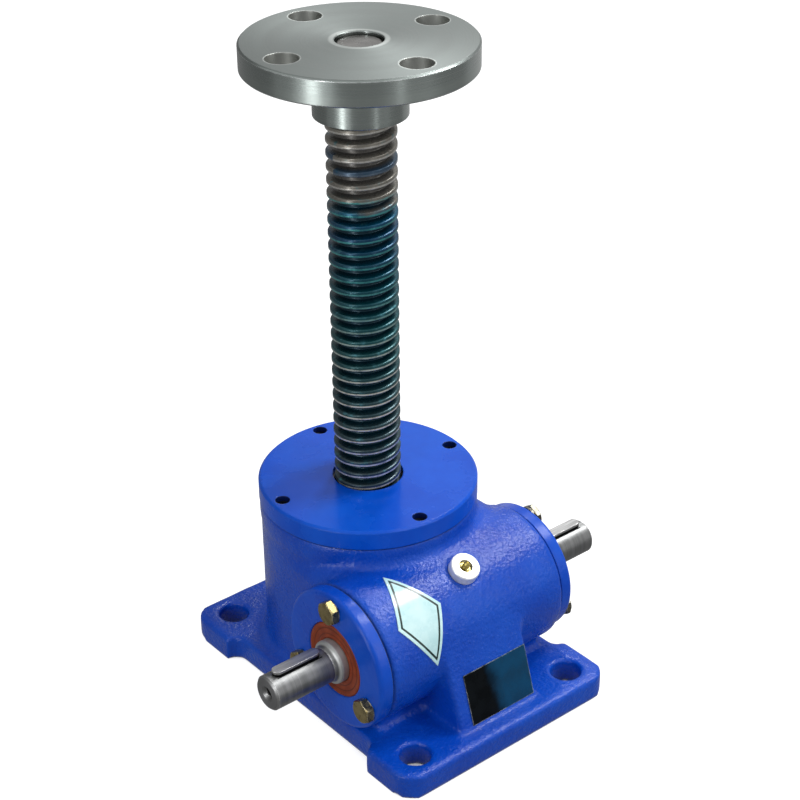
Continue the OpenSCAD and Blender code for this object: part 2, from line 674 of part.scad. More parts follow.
module grease_boss() color(steel) grease_axis() difference() {
  turned([[3.2, tunnel_r - 2.5], [boss_d / 2, tunnel_r - 2.5], [boss_d / 2, tunnel_r + boss_out - 0.5],
    [boss_d / 2 - 0.5, tunnel_r + boss_out], [3.2, tunnel_r + boss_out]]);
}

module grease_nipple() color(brass) grease_axis() {
  translate([0, 0, tunnel_r - 8]) cylinder(d = nipple_d, h = 8 + boss_out - 1.5);
  translate([0, 0, tunnel_r + boss_out - 1.5]) cylinder(d = 4.5, h = 1, $fn = 6);
  translate([0, 0, tunnel_r + boss_out - 0.6]) cylinder(d1 = 3.4, d2 = 2.2, h = 1.2);
  translate([0, 0, tunnel_r + boss_out + 1.2]) sphere(r = 1.6);
}

// A plate on the pedestal's leaning front face
module nameplate() color(dark) translate([0, pedestal_y, pedestal_z]) rotate([90 - pedestal_lean, 0, 0])
  translate([plate_x - plate_w / 2, -plate_drop - plate_h, 0]) cube([plate_w, plate_h, plate_t]);

// Corners of the label laid flat: x along the tunnel, y round it. Each edge is wrapped in steps.
module diamond_label() {
  corners = [for (p = [[0, label_l / 2], [label_w / 2, 0], [0, -label_l / 2], [-label_w / 2, 0]])
    [p[0] * cos(label_turn) - p[1] * sin(label_turn), p[0] * sin(label_turn) + p[1] * cos(label_turn)]];
  wrapped = [for (i = [0:3]) for (t = [0:5]) let (p = corners[i] * (1 - t / 6) + corners[(i + 1) % 4] * t / 6)
    [p[0], tunnel_r * sin(p[1] / tunnel_r * 180 / PI)]];
  color([0.8, 0.93, 0.93]) intersection() {
    on_worm() difference() {
      cylinder(r = tunnel_r + plate_t, h = tunnel_l, center = true);
      cylinder(r = tunnel_r + 0.01, h = tunnel_l + 2, center = true);
    }
    translate([label_x, -gear_centres, worm_z]) rotate([label_angle - 90, 0, 0])
      linear_extrude(tunnel_r + 5) polygon(wrapped);
  }
}

housing();
top_cover();
cover_set_screws();
screw_wiper();
upper_housing_washer();
upper_ball_cage();
upper_balls();
upper_shaft_washer();
worm_wheel();
lower_shaft_washer();
lower_ball_cage();
lower_balls();
lower_housing_washer();
lifting_screw();
top_flange();
worm_shaft();
near_key();
far_key();
near_outer_ring();
near_inner_ring();
near_bearing_cage();
near_bearing_balls();
far_outer_ring();
far_inner_ring();
far_bearing_cage();
far_bearing_balls();
near_gasket();
near_end_cover();
near_oil_seal();
near_cover_bolts();
far_gasket();
far_end_cover();
far_oil_seal();
far_cover_bolts();
grease_boss();
grease_nipple();
nameplate();
diamond_label();
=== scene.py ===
import math

import bmesh
import bpy
from mathutils import Matrix, Vector, noise


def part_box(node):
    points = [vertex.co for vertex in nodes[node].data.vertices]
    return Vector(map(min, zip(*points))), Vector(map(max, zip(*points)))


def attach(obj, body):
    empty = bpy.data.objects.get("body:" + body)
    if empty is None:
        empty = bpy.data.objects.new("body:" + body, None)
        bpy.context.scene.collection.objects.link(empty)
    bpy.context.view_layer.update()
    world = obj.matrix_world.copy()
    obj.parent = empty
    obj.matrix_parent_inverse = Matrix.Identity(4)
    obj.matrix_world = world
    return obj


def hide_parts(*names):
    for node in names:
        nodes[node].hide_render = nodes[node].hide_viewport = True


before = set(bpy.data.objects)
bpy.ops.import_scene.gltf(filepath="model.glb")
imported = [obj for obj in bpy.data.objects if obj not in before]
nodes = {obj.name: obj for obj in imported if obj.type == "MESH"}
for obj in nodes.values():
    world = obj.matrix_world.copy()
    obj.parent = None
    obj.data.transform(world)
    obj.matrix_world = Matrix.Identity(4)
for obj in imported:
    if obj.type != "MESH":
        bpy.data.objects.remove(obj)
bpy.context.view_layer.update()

# ---- Studio: camera, sweep, lamps and cards ------------------------------------------
# A white sweep under seven area lamps. Narrow ones at the sides and near the table draw
# the streaks on bright steel, and broad ones above and in front light the paint. The
# camera stands 0.9 m off.


def new_object(name, data):
    piece = bpy.data.objects.new(name, data)
    bpy.context.scene.collection.objects.link(piece)
    return piece


camera_data = bpy.data.cameras.new("studio_camera")
camera_data.sensor_width = 36
camera_data.lens = 83.17
camera_data.clip_start = 0.05
camera_data.clip_end = 20
camera = new_object("studio_camera", camera_data)
bpy.context.scene.camera = camera
azimuth, elevation, roll = -0.688, 0.516, -0.01
camera_place = (-0.44113, -0.56003, 0.53756)
back = Vector((math.sin(azimuth) * math.cos(elevation), -math.cos(azimuth) * math.cos(elevation),
               math.sin(elevation)))
side = Vector((math.cos(azimuth), math.sin(azimuth), 0))
rise = back.cross(side)
right = math.cos(roll) * side + math.sin(roll) * rise
up = -math.sin(roll) * side + math.cos(roll) * rise
turn = Matrix((right, up, back)).transposed().to_4x4()
camera.matrix_world = Matrix.Translation(camera_place) @ turn


def node_tree(material):
    material.use_nodes = True
    tree = material.node_tree
    tree.nodes.clear()
    return tree


def add(tree, kind, **values):
    """A new node; each value is set on the node itself or on its input of that name."""
    node = tree.nodes.new(kind)
    for key, value in values.items():
        if hasattr(node, key):
            setattr(node, key, value)
        else:
            node.inputs[key].default_value = value
    return node


def by_rays(tree, plain, white, out):
    """plain lights the part, and white is what the camera, mirrors and glass see of it."""
    seen = add(tree, "ShaderNodeLightPath")
    either = seen.outputs["Is Camera Ray"]
    for kind in ("Is Glossy Ray", "Is Transmission Ray"):
        larger = add(tree, "ShaderNodeMath", operation="MAXIMUM")
        tree.links.new(either, larger.inputs[0])
        tree.links.new(seen.outputs[kind], larger.inputs[1])
        either = larger.outputs[0]
    choose = add(tree, "ShaderNodeMixShader")
    tree.links.new(either, choose.inputs[0])
    tree.links.new(plain.outputs[0], choose.inputs[1])
    tree.links.new(white.outputs[0], choose.inputs[2])
    tree.links.new(choose.outputs[0], out.inputs["Surface"])


sweep_material = bpy.data.materials.new("studio_sweep")
tree = node_tree(sweep_material)
out = add(tree, "ShaderNodeOutputMaterial")
matte = add(tree, "ShaderNodeBsdfDiffuse", Color=(0.3, 0.3, 0.3, 1))
glow = add(tree, "ShaderNodeEmission", Color=(1, 1, 1, 1))
# the floor's glow fades close round the part, which leaves a soft contact shadow
shelter = add(tree, "ShaderNodeAmbientOcclusion", samples=8, Distance=0.03)
fade = add(tree, "ShaderNodeMapRange", interpolation_type="SMOOTHSTEP")
for socket, value in (("From Min", 0.06), ("From Max", 0.42), ("To Min", 0.02), ("To Max", 0.93)):
    fade.inputs[socket].default_value = value
tree.links.new(shelter.outputs["AO"], fade.inputs["Value"])
tree.links.new(fade.outputs["Result"], glow.inputs["Strength"])
both = add(tree, "ShaderNodeAddShader")
tree.links.new(matte.outputs[0], both.inputs[0])
tree.links.new(glow.outputs[0], both.inputs[1])
by_rays(tree, matte, both, out)
floor_half = 6.0
corners = ((-1, -1), (1, -1), (1, 1), (-1, 1))
floor_mesh = bpy.data.meshes.new("studio_floor")
floor_mesh.from_pydata([(x * floor_half, y * floor_half, 0) for x, y in corners], [], [(0, 1, 2, 3)])
floor_mesh.materials.append(sweep_material)
floor = new_object("studio_floor", floor_mesh)

world = bpy.data.worlds.new("studio_world")
bpy.context.scene.world = world
tree = node_tree(world)
out = add(tree, "ShaderNodeOutputWorld")
fill = add(tree, "ShaderNodeBackground", Color=(0.92, 0.96, 1.0, 1), Strength=0.34)
white = add(tree, "ShaderNodeBackground", Color=(1, 1, 1, 1), Strength=1.0)
by_rays(tree, fill, white, out)


def window_light(name, place, aim, size, power):
    lamp = bpy.data.lights.new(name, "AREA")
    lamp.shape = "RECTANGLE"
    lamp.size, lamp.size_y = size
    lamp.energy = power
    piece = new_object(name, lamp)
    piece.location = place
    piece.rotation_euler = (Vector(aim) - Vector(place)).to_track_quat("-Z", "Y").to_euler()


window_light("window_left", (-1.28, -0.42, 0.75), (0, 0, 0.12), (0.16, 0.9), 4.2)
window_light("window_top", (0.83, -0.24, 1.23), (0, -0.05, 0.1), (0.45, 0.45), 10.5)
window_light("window_front", (0.35, -1.0, 1.1), (0, -0.05, 0.1), (0.9, 0.9), 4.5)
window_light("window_right", (0.72, -1.25, 0.65), (0, 0, 0.12), (0.12, 0.9), 4)
window_light("window_back", (0.62, 0.42, 1.05), (0, -0.03, 0.1), (0.16, 0.16), 3.5)
window_light("strip_left", (-0.395, -0.062, 0.11), (0, 0, 0.11), (0.07, 0.2), 0.21)
window_light("strip_right", (-0.018, -0.4, 0.11), (0, 0, 0.11), (0.035, 0.2), 0.03)

# Grey cards stand round the table and one lies on it, as they do for any bright metal
# on white. Only reflections meet them, so they shape the steel and leave the light as
# it is. A row gives a card's first and last angle in degrees, its height and its grey.
card_radius, card_foot = 0.52, 0.0005
cards = (("card_left", 60, 148, 0.62, 0.28), ("card_left_end", 148, 172, 0.62, 0.5),
         ("card_middle", 208, 254, 0.5, 0.42), ("card_middle_end", 254, 300, 0.5, 0.55),
         ("card_right", 300, 346, 0.5, 0.38), ("card_right_end", 346, 400, 0.5, 0.6),
         ("card_table", 0, 360, 0.0, 0.3))
for name, first, last, tall, grey in cards:
    card_grey = bpy.data.materials.new("studio_" + name)
    tree = node_tree(card_grey)
    felt = add(tree, "ShaderNodeEmission", Color=(grey, grey, grey, 1), Strength=1.0)
    tree.links.new(felt.outputs[0], add(tree, "ShaderNodeOutputMaterial").inputs["Surface"])
    count = max(12, (last - first) // 6)
    bend = [math.radians(first + (last - first) * step / count) for step in range(count + 1)]
    rim = [(card_radius * math.cos(a), card_radius * math.sin(a)) for a in bend]
    near_ring = [(x, y, card_foot) for x, y in rim]
    far_ring = [(x, y, tall) if tall else (0.0, 0.0, card_foot) for x, y in rim]
    card_mesh = bpy.data.meshes.new(name)
    card_mesh.from_pydata(near_ring + far_ring, [],
                          [(k, k + 1, k + count + 2, k + count + 1) for k in range(count)])
    card_mesh.materials.append(card_grey)
    card = new_object(name, card_mesh)
    card.visible_camera = card.visible_diffuse = card.visible_transmission = card.visible_shadow = False
bpy.context.scene.view_settings.view_transform = "Standard"

# ---- Housing: one sand casting with its four feet, enamelled blue --------------------
# Grey iron cast in sand, machined only at its faces and bores, then sprayed blue. Every
# edge is soft, and the skin keeps the grain of the sand under the paint.
MM = 0.001


def linear(red, green, blue):
    """A colour written in 0 to 255 screen values, as the shaders want it."""
    return tuple((v / 255 / 12.92) if v <= 10 else ((v / 255 + 0.055) / 1.055) ** 2.4
                 for v in (red, green, blue)) + (1.0,)


def group_tree(name, inputs, outputs):
    """A shader node group; inputs are (name, value) and outputs are (name, kind)."""
    tree = bpy.data.node_groups.new(name, "ShaderNodeTree")
    for socket, value in inputs:
        made = tree.interface.new_socket(socket, in_out="INPUT", socket_type="NodeSocketFloat")
        made.default_value = value
    for socket, kind in outputs:
        tree.interface.new_socket(socket, in_out="OUTPUT", socket_type="NodeSocket" + kind)
    return tree, add(tree, "NodeGroupInput").outputs, add(tree, "NodeGroupOutput").inputs


def feed(tree, value, socket):
    """Sets a number or a colour on the socket, or links another node's output to it."""
    if isinstance(value, (tuple, float, int)):
        socket.default_value = value
    else:
        tree.links.new(value, socket)


def maths(tree, operation, *values):
    node = add(tree, "ShaderNodeMath", operation=operation)
    for socket, value in zip(node.inputs, values):
        feed(tree, value, socket)
    return node.outputs[0]


def plus(tree, first, second):
    return maths(tree, "ADD", first, second)


def minus(tree, first, second):
    return maths(tree, "SUBTRACT", first, second)


def times(tree, first, second):
    return maths(tree, "MULTIPLY", first, second)


def gap(tree, first, second):
    """How far apart first and second are, whichever is the larger."""
    return maths(tree, "ABSOLUTE", minus(tree, first, second))


def ramp(tree, value, low, high, start=0.0, end=1.0):
    """value mapped from low..high to start..end, smoothly."""
    node = add(tree, "ShaderNodeMapRange", interpolation_type="SMOOTHSTEP")
    for socket, number in zip(("From Min", "From Max", "To Min", "To Max"), (low, high, start, end)):
        feed(tree, number, node.inputs[socket])
    tree.links.new(value, node.inputs["Value"])
    return node.outputs["Result"]


def blend(tree, mask, first, second):
    """first where mask is 0 and second where it is 1; each is a colour or a socket."""
    node = add(tree, "ShaderNodeMix", data_type="RGBA")
    for value, socket in ((mask, node.inputs[0]), (first, node.inputs[6]), (second, node.inputs[7])):
        feed(tree, value, socket)
    return node.outputs[2]


def place_in(tree):
    return add(tree, "ShaderNodeTexCoord").outputs["Object"]


def split_place(tree, centre=None):
    """The x, y and z of each point of the surface, counted from centre where it is given."""
    place = place_in(tree)
    if centre:
        move = add(tree, "ShaderNodeMapping", vector_type="POINT")
        tree.links.new(place, move.inputs["Vector"])
        move.inputs["Location"].default_value = [-value for value in centre]
        place = move.outputs[0]
    apart = add(tree, "ShaderNodeSeparateXYZ")
    tree.links.new(place, apart.inputs[0])
    return apart.outputs


def noise_at(tree, place, scale, detail=3.0, rough=0.55):
    node = add(tree, "ShaderNodeTexNoise", Detail=detail, Roughness=rough)
    tree.links.new(place, node.inputs["Vector"])
    feed(tree, scale, node.inputs["Scale"])
    return node.outputs["Fac"]


# Cast grain: sand pits and orange peel, as a height and as a mask of the raised grains
cast_grain, enters, leaves = group_tree("cast_grain", (("Grain Size", 0.0012), ("Unevenness", 0.35)),
                                        (("Height", "Float"), ("Flecks", "Float")))
link = cast_grain.links.new
place = place_in(cast_grain)
per_metre = maths(cast_grain, "DIVIDE", 1.0, enters["Grain Size"])
fine = noise_at(cast_grain, place, per_metre, 2.0, 0.6)
coarse = noise_at(cast_grain, place, times(cast_grain, per_metre, 0.22), 2.0, 0.5)
pits = add(cast_grain, "ShaderNodeTexVoronoi", feature="SMOOTH_F1")
link(place, pits.inputs["Vector"])
link(times(cast_grain, per_metre, 0.6), pits.inputs["Scale"])
height = plus(cast_grain, times(cast_grain, fine, 0.5), times(cast_grain, pits.outputs["Distance"], 0.5))
height = plus(cast_grain, height, times(cast_grain, coarse, enters["Unevenness"]))
link(height, leaves["Height"])
link(ramp(cast_grain, fine, 0.56, 0.72), leaves["Flecks"])

# Edge glint and wear: a mask of the convex edges, broken up by noise, which most finishes paint paler as a
# painted highlight along the edges
edge_glint_and_wear, enters, leaves = group_tree("edge_glint_and_wear", (("Width", 0.0008), ("Breakup", 400.0)),
                                       (("Edge", "Float"), ("Normal", "Vector")))
link = edge_glint_and_wear.links.new
rounded = add(edge_glint_and_wear, "ShaderNodeBevel", samples=4)
link(enters["Width"], rounded.inputs["Radius"])
facing = add(edge_glint_and_wear, "ShaderNodeVectorMath", operation="DOT_PRODUCT")
link(rounded.outputs[0], facing.inputs[0])
link(add(edge_glint_and_wear, "ShaderNodeNewGeometry").outputs["Normal"], facing.inputs[1])
broken = noise_at(edge_glint_and_wear, place_in(edge_glint_and_wear), enters["Breakup"], 3.0)
sharp = ramp(edge_glint_and_wear, facing.outputs["Value"], 0.995, 0.9)
link(times(edge_glint_and_wear, sharp, ramp(edge_glint_and_wear, broken, 0.35, 0.6, 0.2, 1.0)), leaves["Edge"])
link(rounded.outputs[0], leaves["Normal"])

# Handling: broad faint blotches of grease and dust, as a mask
handling, enters, leaves = group_tree("handling_marks", (("Size", 0.02),), (("Mask", "Float"),))
per_metre = maths(handling, "DIVIDE", 1.0, enters["Size"])
wide = noise_at(handling, place_in(handling), per_metre, 4.0, 0.6)
handling.links.new(ramp(handling, wide, 0.35, 0.68), leaves["Mask"])


def use(tree, group, **values):
    node = add(tree, "ShaderNodeGroup")
    node.node_tree = group
    for name, value in values.items():
        node.inputs[name.replace("_", " ")].default_value = value
    return node.outputs


def new_material(name, **values):
    """A material with one Principled shader; values are its constant sockets."""
    material = bpy.data.materials.new(name)
    tree = node_tree(material)
    surface = add(tree, "ShaderNodeBsdfPrincipled")
    for key, value in values.items():
        surface.inputs[key.replace("_", " ")].default_value = value
    tree.links.new(surface.outputs[0], add(tree, "ShaderNodeOutputMaterial").inputs["Surface"])
    return material, tree, surface.inputs


def finish_in(tree, surface, colour, rough):
    tree.links.new(colour, surface["Base Color"])
    tree.links.new(rough, surface["Roughness"])


def bump(tree, surface, height, depth, base=None):
    node = add(tree, "ShaderNodeBump", Strength=1.0, Distance=depth)
    tree.links.new(height, node.inputs["Height"])
    if base is not None:
        tree.links.new(base, node.inputs["Normal"])
    tree.links.new(node.outputs[0], surface["Normal"])
    tree.links.new(node.outputs[0], surface["Coat Normal"])


def enamel(name, deep, pale, grain_size, grain_depth, grain_glints, gloss, shade=None):
    """Blue enamel. grain_glints is how far the raised grains are painted pale, as glints; shade tones the
    colour by place.
    """
    material, tree, surface = new_material(name, IOR=1.5, Specular_IOR_Level=0.16, Coat_Weight=gloss,
                                           Coat_Roughness=0.14)
    grain = use(tree, cast_grain, Grain_Size=grain_size)
    edges = use(tree, edge_glint_and_wear, Width=0.0009)
    marks = use(tree, handling, Size=0.035)
    colour = blend(tree, marks["Mask"], deep, pale)
    # painted glints: the raised grains are painted a pale blue, as sparkle of light on the sand grain
    colour = blend(tree, times(tree, grain["Flecks"], grain_glints), colour, linear(60, 112, 214))
    # painted highlight: the convex edges are painted a paler blue
    colour = blend(tree, times(tree, edges["Edge"], 0.3), colour, linear(56, 112, 214))
    if shade:
        colour = shade(tree, colour, *split_place(tree))
    finish_in(tree, surface, colour, ramp(tree, marks["Mask"], 0, 1, 0.24, 0.34))
    bump(tree, surface, grain["Height"], grain_depth, edges["Normal"])
    return material


def dressed(node, material):
    """The CAD node keeps its shape and takes this material in all its slots."""
    mesh = nodes[node].data
    if len(mesh.materials) == 0:
        mesh.materials.append(material)
    for index in range(len(mesh.materials)):
        mesh.materials[index] = material


def settle(piece):
    """Turns what the modifiers make of piece into its own plain mesh."""
    made = bpy.data.meshes.new_from_object(piece.evaluated_get(bpy.context.evaluated_depsgraph_get()))
    piece.modifiers.clear()
    piece.data = made
    return made


casting_low, casting_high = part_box("housing")


def cover_seam_shade(tree, colour, x, y, z):
    """The joint under the bearing cover is painted as a dark line, the shade in its gap."""
    off = gap(tree, z, casting_high.z)
    return blend(tree, ramp(tree, off, 1.1 * MM, 0.3 * MM), colour, linear(4, 10, 36))


cast_enamel = enamel("cast_blue_enamel", linear(3, 64, 176), linear(6, 76, 190), 0.0009, 0.00045, 0.12, 0.32,
                     cover_seam_shade)
voxel, softening = 0.00125, 4       # a voxel's side, and the number of smoothing passes
weld_gap = 1e-6                     # points nearer than this are one point
swell_height = 0.00013              # the skin's slow waves between the machined faces
swell_broad, swell_close = 70, 190  # those waves to a metre
fade_foot, fade_top = 0.004, 0.003  # they die out over this much next to the foot and the top face
skin = nodes["housing"].data.copy()
casting = new_object("housing_casting", skin)
shell = bmesh.new()
shell.from_mesh(skin)
bmesh.ops.remove_doubles(shell, verts=shell.verts, dist=weld_gap)
shell.to_mesh(skin)
shell.free()
remesh = casting.modifiers.new("voxels", "REMESH")
remesh.mode = "VOXEL"
remesh.voxel_size = voxel
remesh.adaptivity = 0.0
soften = casting.modifiers.new("soften", "SMOOTH")
soften.factor = 0.5
soften.iterations = softening
baked = settle(casting)
bpy.data.meshes.remove(skin)
baked.name = "housing_casting"
surface_now = [(vertex.co.copy(), vertex.normal.copy()) for vertex in baked.vertices]
moved = []
for at, outward in surface_now:
    machined = min(1.0, at.z / fade_foot, abs(at.z - casting_high.z) / fade_top)
    swell = noise.noise(at * swell_broad) + 0.5 * noise.noise(at * swell_close)
    place = at + outward * (swell_height * swell * machined)
    moved += [min(max(value, bottom), top) for value, bottom, top in zip(place, casting_low, casting_high)]
baked.vertices.foreach_set("co", moved)
baked.update()
baked.materials.clear()
baked.materials.append(cast_enamel)
baked.polygons.foreach_set("use_smooth", [True] * len(baked.polygons))
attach(casting, "frame")
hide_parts("housing")

# ---- Top cover: a turned disc that holds the upper bearing down ----------------------
# Turned from plate and painted with the housing, so it is smooth where the casting is
# rough. Four socket set screws are sunk in it near its rim, and a wiper seals the screw.
cover_circle, cover_first = 44 * MM, math.radians(-8)
hole_shade_inside, hole_shade_outside = 3.15 * MM, 3.5 * MM    # the painted shade's edge fades between these


def across(tree, first, second):
    """Distance from the axis, from the two places at right angles to it."""
    squares = [maths(tree, "POWER", value, 2.0) for value in (first, second)]
    return maths(tree, "SQRT", plus(tree, *squares))


def from_holes(tree, x, y, first, circle_radius):
    """Distance from the nearest of four holes set evenly on a circle round the screw's axis."""
    turned_x = plus(tree, times(tree, x, math.cos(first)), times(tree, y, math.sin(first)))
    turned_y = minus(tree, times(tree, y, math.cos(first)), times(tree, x, math.sin(first)))
    x, y = maths(tree, "ABSOLUTE", turned_x), maths(tree, "ABSOLUTE", turned_y)
    over = minus(tree, maths(tree, "MAXIMUM", x, y), circle_radius)
    return across(tree, over, maths(tree, "MINIMUM", x, y))


def shaded_hole_walls(tree, colour, x, y, z):
    """The walls of the set screws' tapped holes are painted dark, as the shade inside them."""
    away = from_holes(tree, x, y, cover_first, cover_circle)
    return blend(tree, ramp(tree, away, hole_shade_outside, hole_shade_inside), colour, linear(10, 26, 78))


def blotched(name, size, dark, pale, rough, pale_edges=None, **values):
    """A plain finish in two tones; pale_edges is the width and the colour of its paler edges."""
    material, tree, surface = new_material(name, **values)
    marks = use(tree, handling, Size=size)
    colour = blend(tree, marks["Mask"], dark, pale)
    if pale_edges:
        width, bright = pale_edges
        colour = blend(tree, use(tree, edge_glint_and_wear, Width=width)["Edge"], colour, bright)
    finish_in(tree, surface, colour, ramp(tree, marks["Mask"], 0, 1, *rough))
    return material


turned_enamel = enamel("smooth_blue_enamel", linear(3, 74, 192), linear(6, 86, 206), 0.004, 0.00006,
                       0.03, 0.1, shaded_hole_walls)
dressed("top_cover", turned_enamel)
black_oxide = blotched("black_oxide", 0.002, linear(16, 20, 34), linear(40, 46, 60), (0.35, 0.55),
                       Metallic=0.8)
dressed("cover_set_screws", black_oxide)

black_rubber, tree, surface = new_material("black_rubber", IOR=1.5, Roughness=0.5)
grain = use(tree, cast_grain, Grain_Size=0.0004)
tree.links.new(blend(tree, grain["Flecks"], linear(16, 18, 22), linear(38, 42, 48)), surface["Base Color"])
bump(tree, surface, grain["Height"], 0.00003)
dressed("screw_wiper", black_rubber)

# ---- Lifting screw: a rolled trapezoidal rod with an oil film ------------------------
# Steel bar with a 6 mm pitch thread and a spigot turned on its top. It is oiled teal
# where it works in the nut, and wiped bare for the last few turns under the flange.
screw_radius, thread_depth, pitch = 15 * MM, 3.5 * MM, 6 * MM
crest_half, flank_end = 0.183, 0.338   # where the flank starts and ends, in shares of a pitch
rounding_start, rounding_end, rounding = 0.12, 0.19, 0.18 * MM    # the flank's softened top corner
foot_bevel, foot_slope, tip_bevel = 3.5 * MM, 1.4, 1 * MM
screw_low, screw_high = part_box("lifting_screw")
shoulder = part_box("top_flange")[0].z
spigot_radius = 10 * MM
turn_steps, pitch_steps = 72, 22       # columns round the rod, and rows in one pitch
spare_pitches = 2.0                    # added past each end, where the rod closes to its axis


def named_inputs(tree, kinds):
    """Gives a Geometry Nodes tree its output and these named inputs, and returns their sockets."""
    tree.interface.new_socket("Geometry", in_out="OUTPUT", socket_type="NodeSocketGeometry")
    return {name: tree.interface.new_socket(name, in_out="INPUT", socket_type="NodeSocket" + kind)
            for name, kind in kinds}


def end_tree(tree, geometry, material):
    """Ends a Geometry Nodes tree with real geometry in its finish."""
    real = add(tree, "GeometryNodeRealizeInstances")
    tree.links.new(geometry, real.inputs[0])
    finish = add(tree, "GeometryNodeSetMaterial")
    tree.links.new(real.outputs[0], finish.inputs["Geometry"])
    tree.links.new(material, finish.inputs["Material"])
    tree.links.new(finish.outputs[0], add(tree, "NodeGroupOutput").inputs[0])


def grow(piece, tree, sockets, values):
    """Runs a Geometry Nodes tree with these values, and leaves piece a plain mesh."""
    grown = piece.modifiers.new(tree.name, "NODES")
    grown.node_group = tree
    for name, value in values.items():
        grown[sockets[name].identifier] = value
    settle(piece)


rod = bpy.data.node_groups.new("threaded_rod", "GeometryNodeTree")
sizes = {"Radius": screw_radius, "Depth": thread_depth, "Pitch": pitch, "Bottom": screw_low.z,
         "Top": screw_high.z, "Shoulder": shoulder, "Spigot Radius": spigot_radius}
rod_sockets = named_inputs(rod, [(name, "Float") for name in sizes] + [
    ("Around", "Int"), ("Rows a Pitch", "Int"), ("Finish", "Material")])
given = add(rod, "NodeGroupInput").outputs
link = rod.links.new
# The rows follow the helix, so each edge of the thread runs along one row.
length = minus(rod, given["Top"], given["Bottom"])
pitches = plus(rod, maths(rod, "CEIL", maths(rod, "DIVIDE", length, given["Pitch"])), 2 * spare_pitches)
sheet = add(rod, "GeometryNodeMeshGrid")
sheet.inputs["Size X"].default_value = 1.0
sheet.inputs["Size Y"].default_value = 1.0
link(plus(rod, given["Around"], 1.0), sheet.inputs["Vertices X"])
link(plus(rod, times(rod, pitches, given["Rows a Pitch"]), 1.0), sheet.inputs["Vertices Y"])
where = add(rod, "ShaderNodeSeparateXYZ")
link(add(rod, "GeometryNodeInputPosition").outputs[0], where.inputs[0])
turned = plus(rod, where.outputs[0], 0.5)
climbed = times(rod, plus(rod, where.outputs[1], 0.5), pitches)
# the first row starts on a whole pitch under the rod's foot
whole_pitches = maths(rod, "FLOOR", maths(rod, "DIVIDE", given["Bottom"], given["Pitch"]))
level = minus(rod, whole_pitches, spare_pitches)
free_z = times(rod, plus(rod, plus(rod, climbed, turned), level), given["Pitch"])
from_crest = gap(rod, maths(rod, "FRACT", plus(rod, climbed, 0.0001)), 0.5)
flank = add(rod, "ShaderNodeMapRange", interpolation_type="LINEAR")
for socket, value in (("From Min", crest_half), ("From Max", flank_end), ("To Min", 0.0), ("To Max", 1.0)):
    flank.inputs[socket].default_value = value
link(from_crest, flank.inputs["Value"])
radius = minus(rod, given["Radius"], times(rod, given["Depth"], flank.outputs["Result"]))
radius = minus(rod, radius, ramp(rod, from_crest, rounding_start, rounding_end, 0.0, rounding))
over_foot = maths(rod, "MAXIMUM", 0.0, minus(rod, free_z, given["Bottom"]))
foot = plus(rod, minus(rod, given["Radius"], foot_bevel), times(rod, over_foot, foot_slope))
radius = maths(rod, "MINIMUM", radius, foot)
below_top = maths(rod, "MAXIMUM", 0.0, minus(rod, given["Top"], free_z))
tip = plus(rod, minus(rod, given["Spigot Radius"], tip_bevel), below_top)
tip = maths(rod, "MINIMUM", given["Spigot Radius"], tip)
on_spigot = maths(rod, "GREATER_THAN", free_z, given["Shoulder"])
radius = plus(rod, times(rod, tip, on_spigot), times(rod, radius, minus(rod, 1.0, on_spigot)))
past = maths(rod, "MAXIMUM", minus(rod, given["Bottom"], free_z), minus(rod, free_z, given["Top"]))
radius = times(rod, radius, ramp(rod, past, 0.0, pitch / 2, 1.0, 0.0))
z = maths(rod, "MINIMUM", given["Top"], maths(rod, "MAXIMUM", given["Bottom"], free_z))
angle = times(rod, turned, 2 * math.pi)
joined = add(rod, "ShaderNodeCombineXYZ")
link(times(rod, radius, maths(rod, "COSINE", angle)), joined.inputs[0])
link(times(rod, radius, maths(rod, "SINE", angle)), joined.inputs[1])
link(z, joined.inputs[2])
put = add(rod, "GeometryNodeSetPosition")
link(sheet.outputs["Mesh"], put.inputs["Geometry"])
link(joined.outputs[0], put.inputs["Position"])
weld = add(rod, "GeometryNodeMergeByDistance")
link(put.outputs[0], weld.inputs["Geometry"])
weld.inputs["Distance"].default_value = 0.00002
smooth = add(rod, "GeometryNodeSetShadeSmooth")
link(weld.outputs[0], smooth.inputs[0])
end_tree(rod, smooth.outputs[0], given["Finish"])

# The oil's colours by height: 0 is the foot of this stretch, 1 its top, on a smooth scale
oil_low, oil_high = 90 * MM, 270 * MM
oil_tones = ((0.0, linear(46, 62, 70)), (0.17, linear(38, 64, 70)), (0.39, linear(22, 72, 76)),
             (0.63, linear(4, 66, 78)), (0.80, linear(0, 54, 84)), (0.86, linear(4, 80, 104)),
             (0.885, linear(100, 98, 92)), (1.0, linear(122, 118, 110)))
wiped_low, wiped_high = 231 * MM, 237 * MM
glint_phase, oily_turn = 0.40, 41.5      # both counted in turns along the helix
oiled_steel, tree, surface = new_material("oiled_screw_steel", Metallic=0.5, Specular_IOR_Level=0.3,
                                          Coat_Weight=0.2, Coat_Roughness=0.12, Anisotropic=0.4)
place = place_in(tree)
x, y, z = split_place(tree)
uneven = noise_at(tree, place, 60.0, 3.0)
streak = noise_at(tree, place, 260.0, 3.0)
height = plus(tree, z, times(tree, minus(tree, uneven, 0.5), 20 * MM))
bands = add(tree, "ShaderNodeValToRGB")
tree.links.new(ramp(tree, height, oil_low, oil_high), bands.inputs[0])
tones = bands.color_ramp.elements
tones[0].position, tones[0].color = oil_tones[0]
tones[1].position, tones[1].color = oil_tones[-1]
for stop, colour in oil_tones[1:-1]:
    tones.new(stop).color = colour
crest = blend(tree, ramp(tree, streak, 0.55, 0.8), bands.outputs[0], linear(60, 116, 126))
